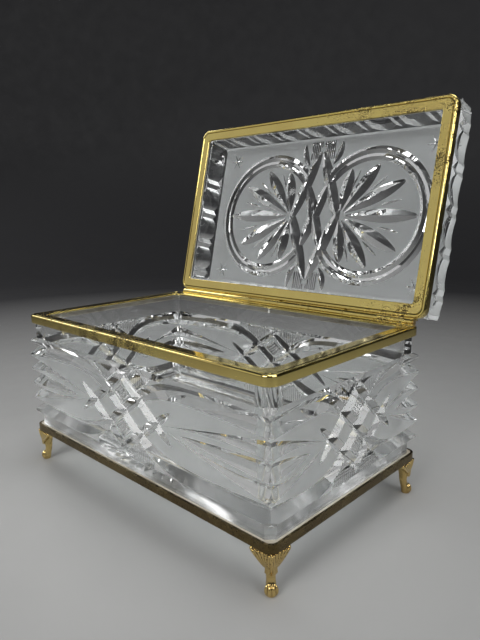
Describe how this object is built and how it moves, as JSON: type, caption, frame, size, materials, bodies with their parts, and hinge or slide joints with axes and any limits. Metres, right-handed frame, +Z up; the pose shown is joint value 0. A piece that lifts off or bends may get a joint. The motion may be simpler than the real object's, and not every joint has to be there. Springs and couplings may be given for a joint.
{
  "type": "jewelry box",
  "caption": "Rectangular cut-glass jewelry box with gilt brass rims, a full-length back hinge, a base frame and cast paw feet; the lid stands open against its stop.",
  "frame": {"origin": "on the table, under the middle of the box", "axes": "+X along the box to the right, +Y to the back where the hinge is, +Z up"},
  "size_m": [0.2, 0.1765, 0.2153],
  "materials": {
    "cut_glass": "lead crystal, satin ground with polished cuts",
    "gilt_brass": "polished gilt brass, a little worn and pitted",
    "cast_brass": "cast and gilt, leaf and paw relief",
    "plain_brass": "turned brass, unlacquered",
    "bedding_cement": "grey-brown plaster cement"
  },
  "bodies": {
    "box": {"glass_body": "cut_glass", "body_rim": "gilt_brass", "body_rim_cement": "bedding_cement", "base_frame": "gilt_brass", "base_cement": "bedding_cement", "foot_front_left": "cast_brass", "foot_front_right": "cast_brass", "foot_back_left": "cast_brass", "foot_back_right": "cast_brass", "foot_screws": "plain_brass", "body_hinge_leaf": "gilt_brass", "hinge_pin": "plain_brass"},
    "lid": {"glass_lid": "cut_glass", "lid_rim": "gilt_brass", "lid_rim_cement": "bedding_cement", "lid_hinge_leaf": "gilt_brass"}
  },
  "joints": [
    {"name": "lid_hinge", "type": "hinge", "parent": "box", "child": "lid", "pos_m": [0, 0.0628, 0.09575], "axis": [1, 0, 0], "range_deg": [0, 103.6]}
  ]
}
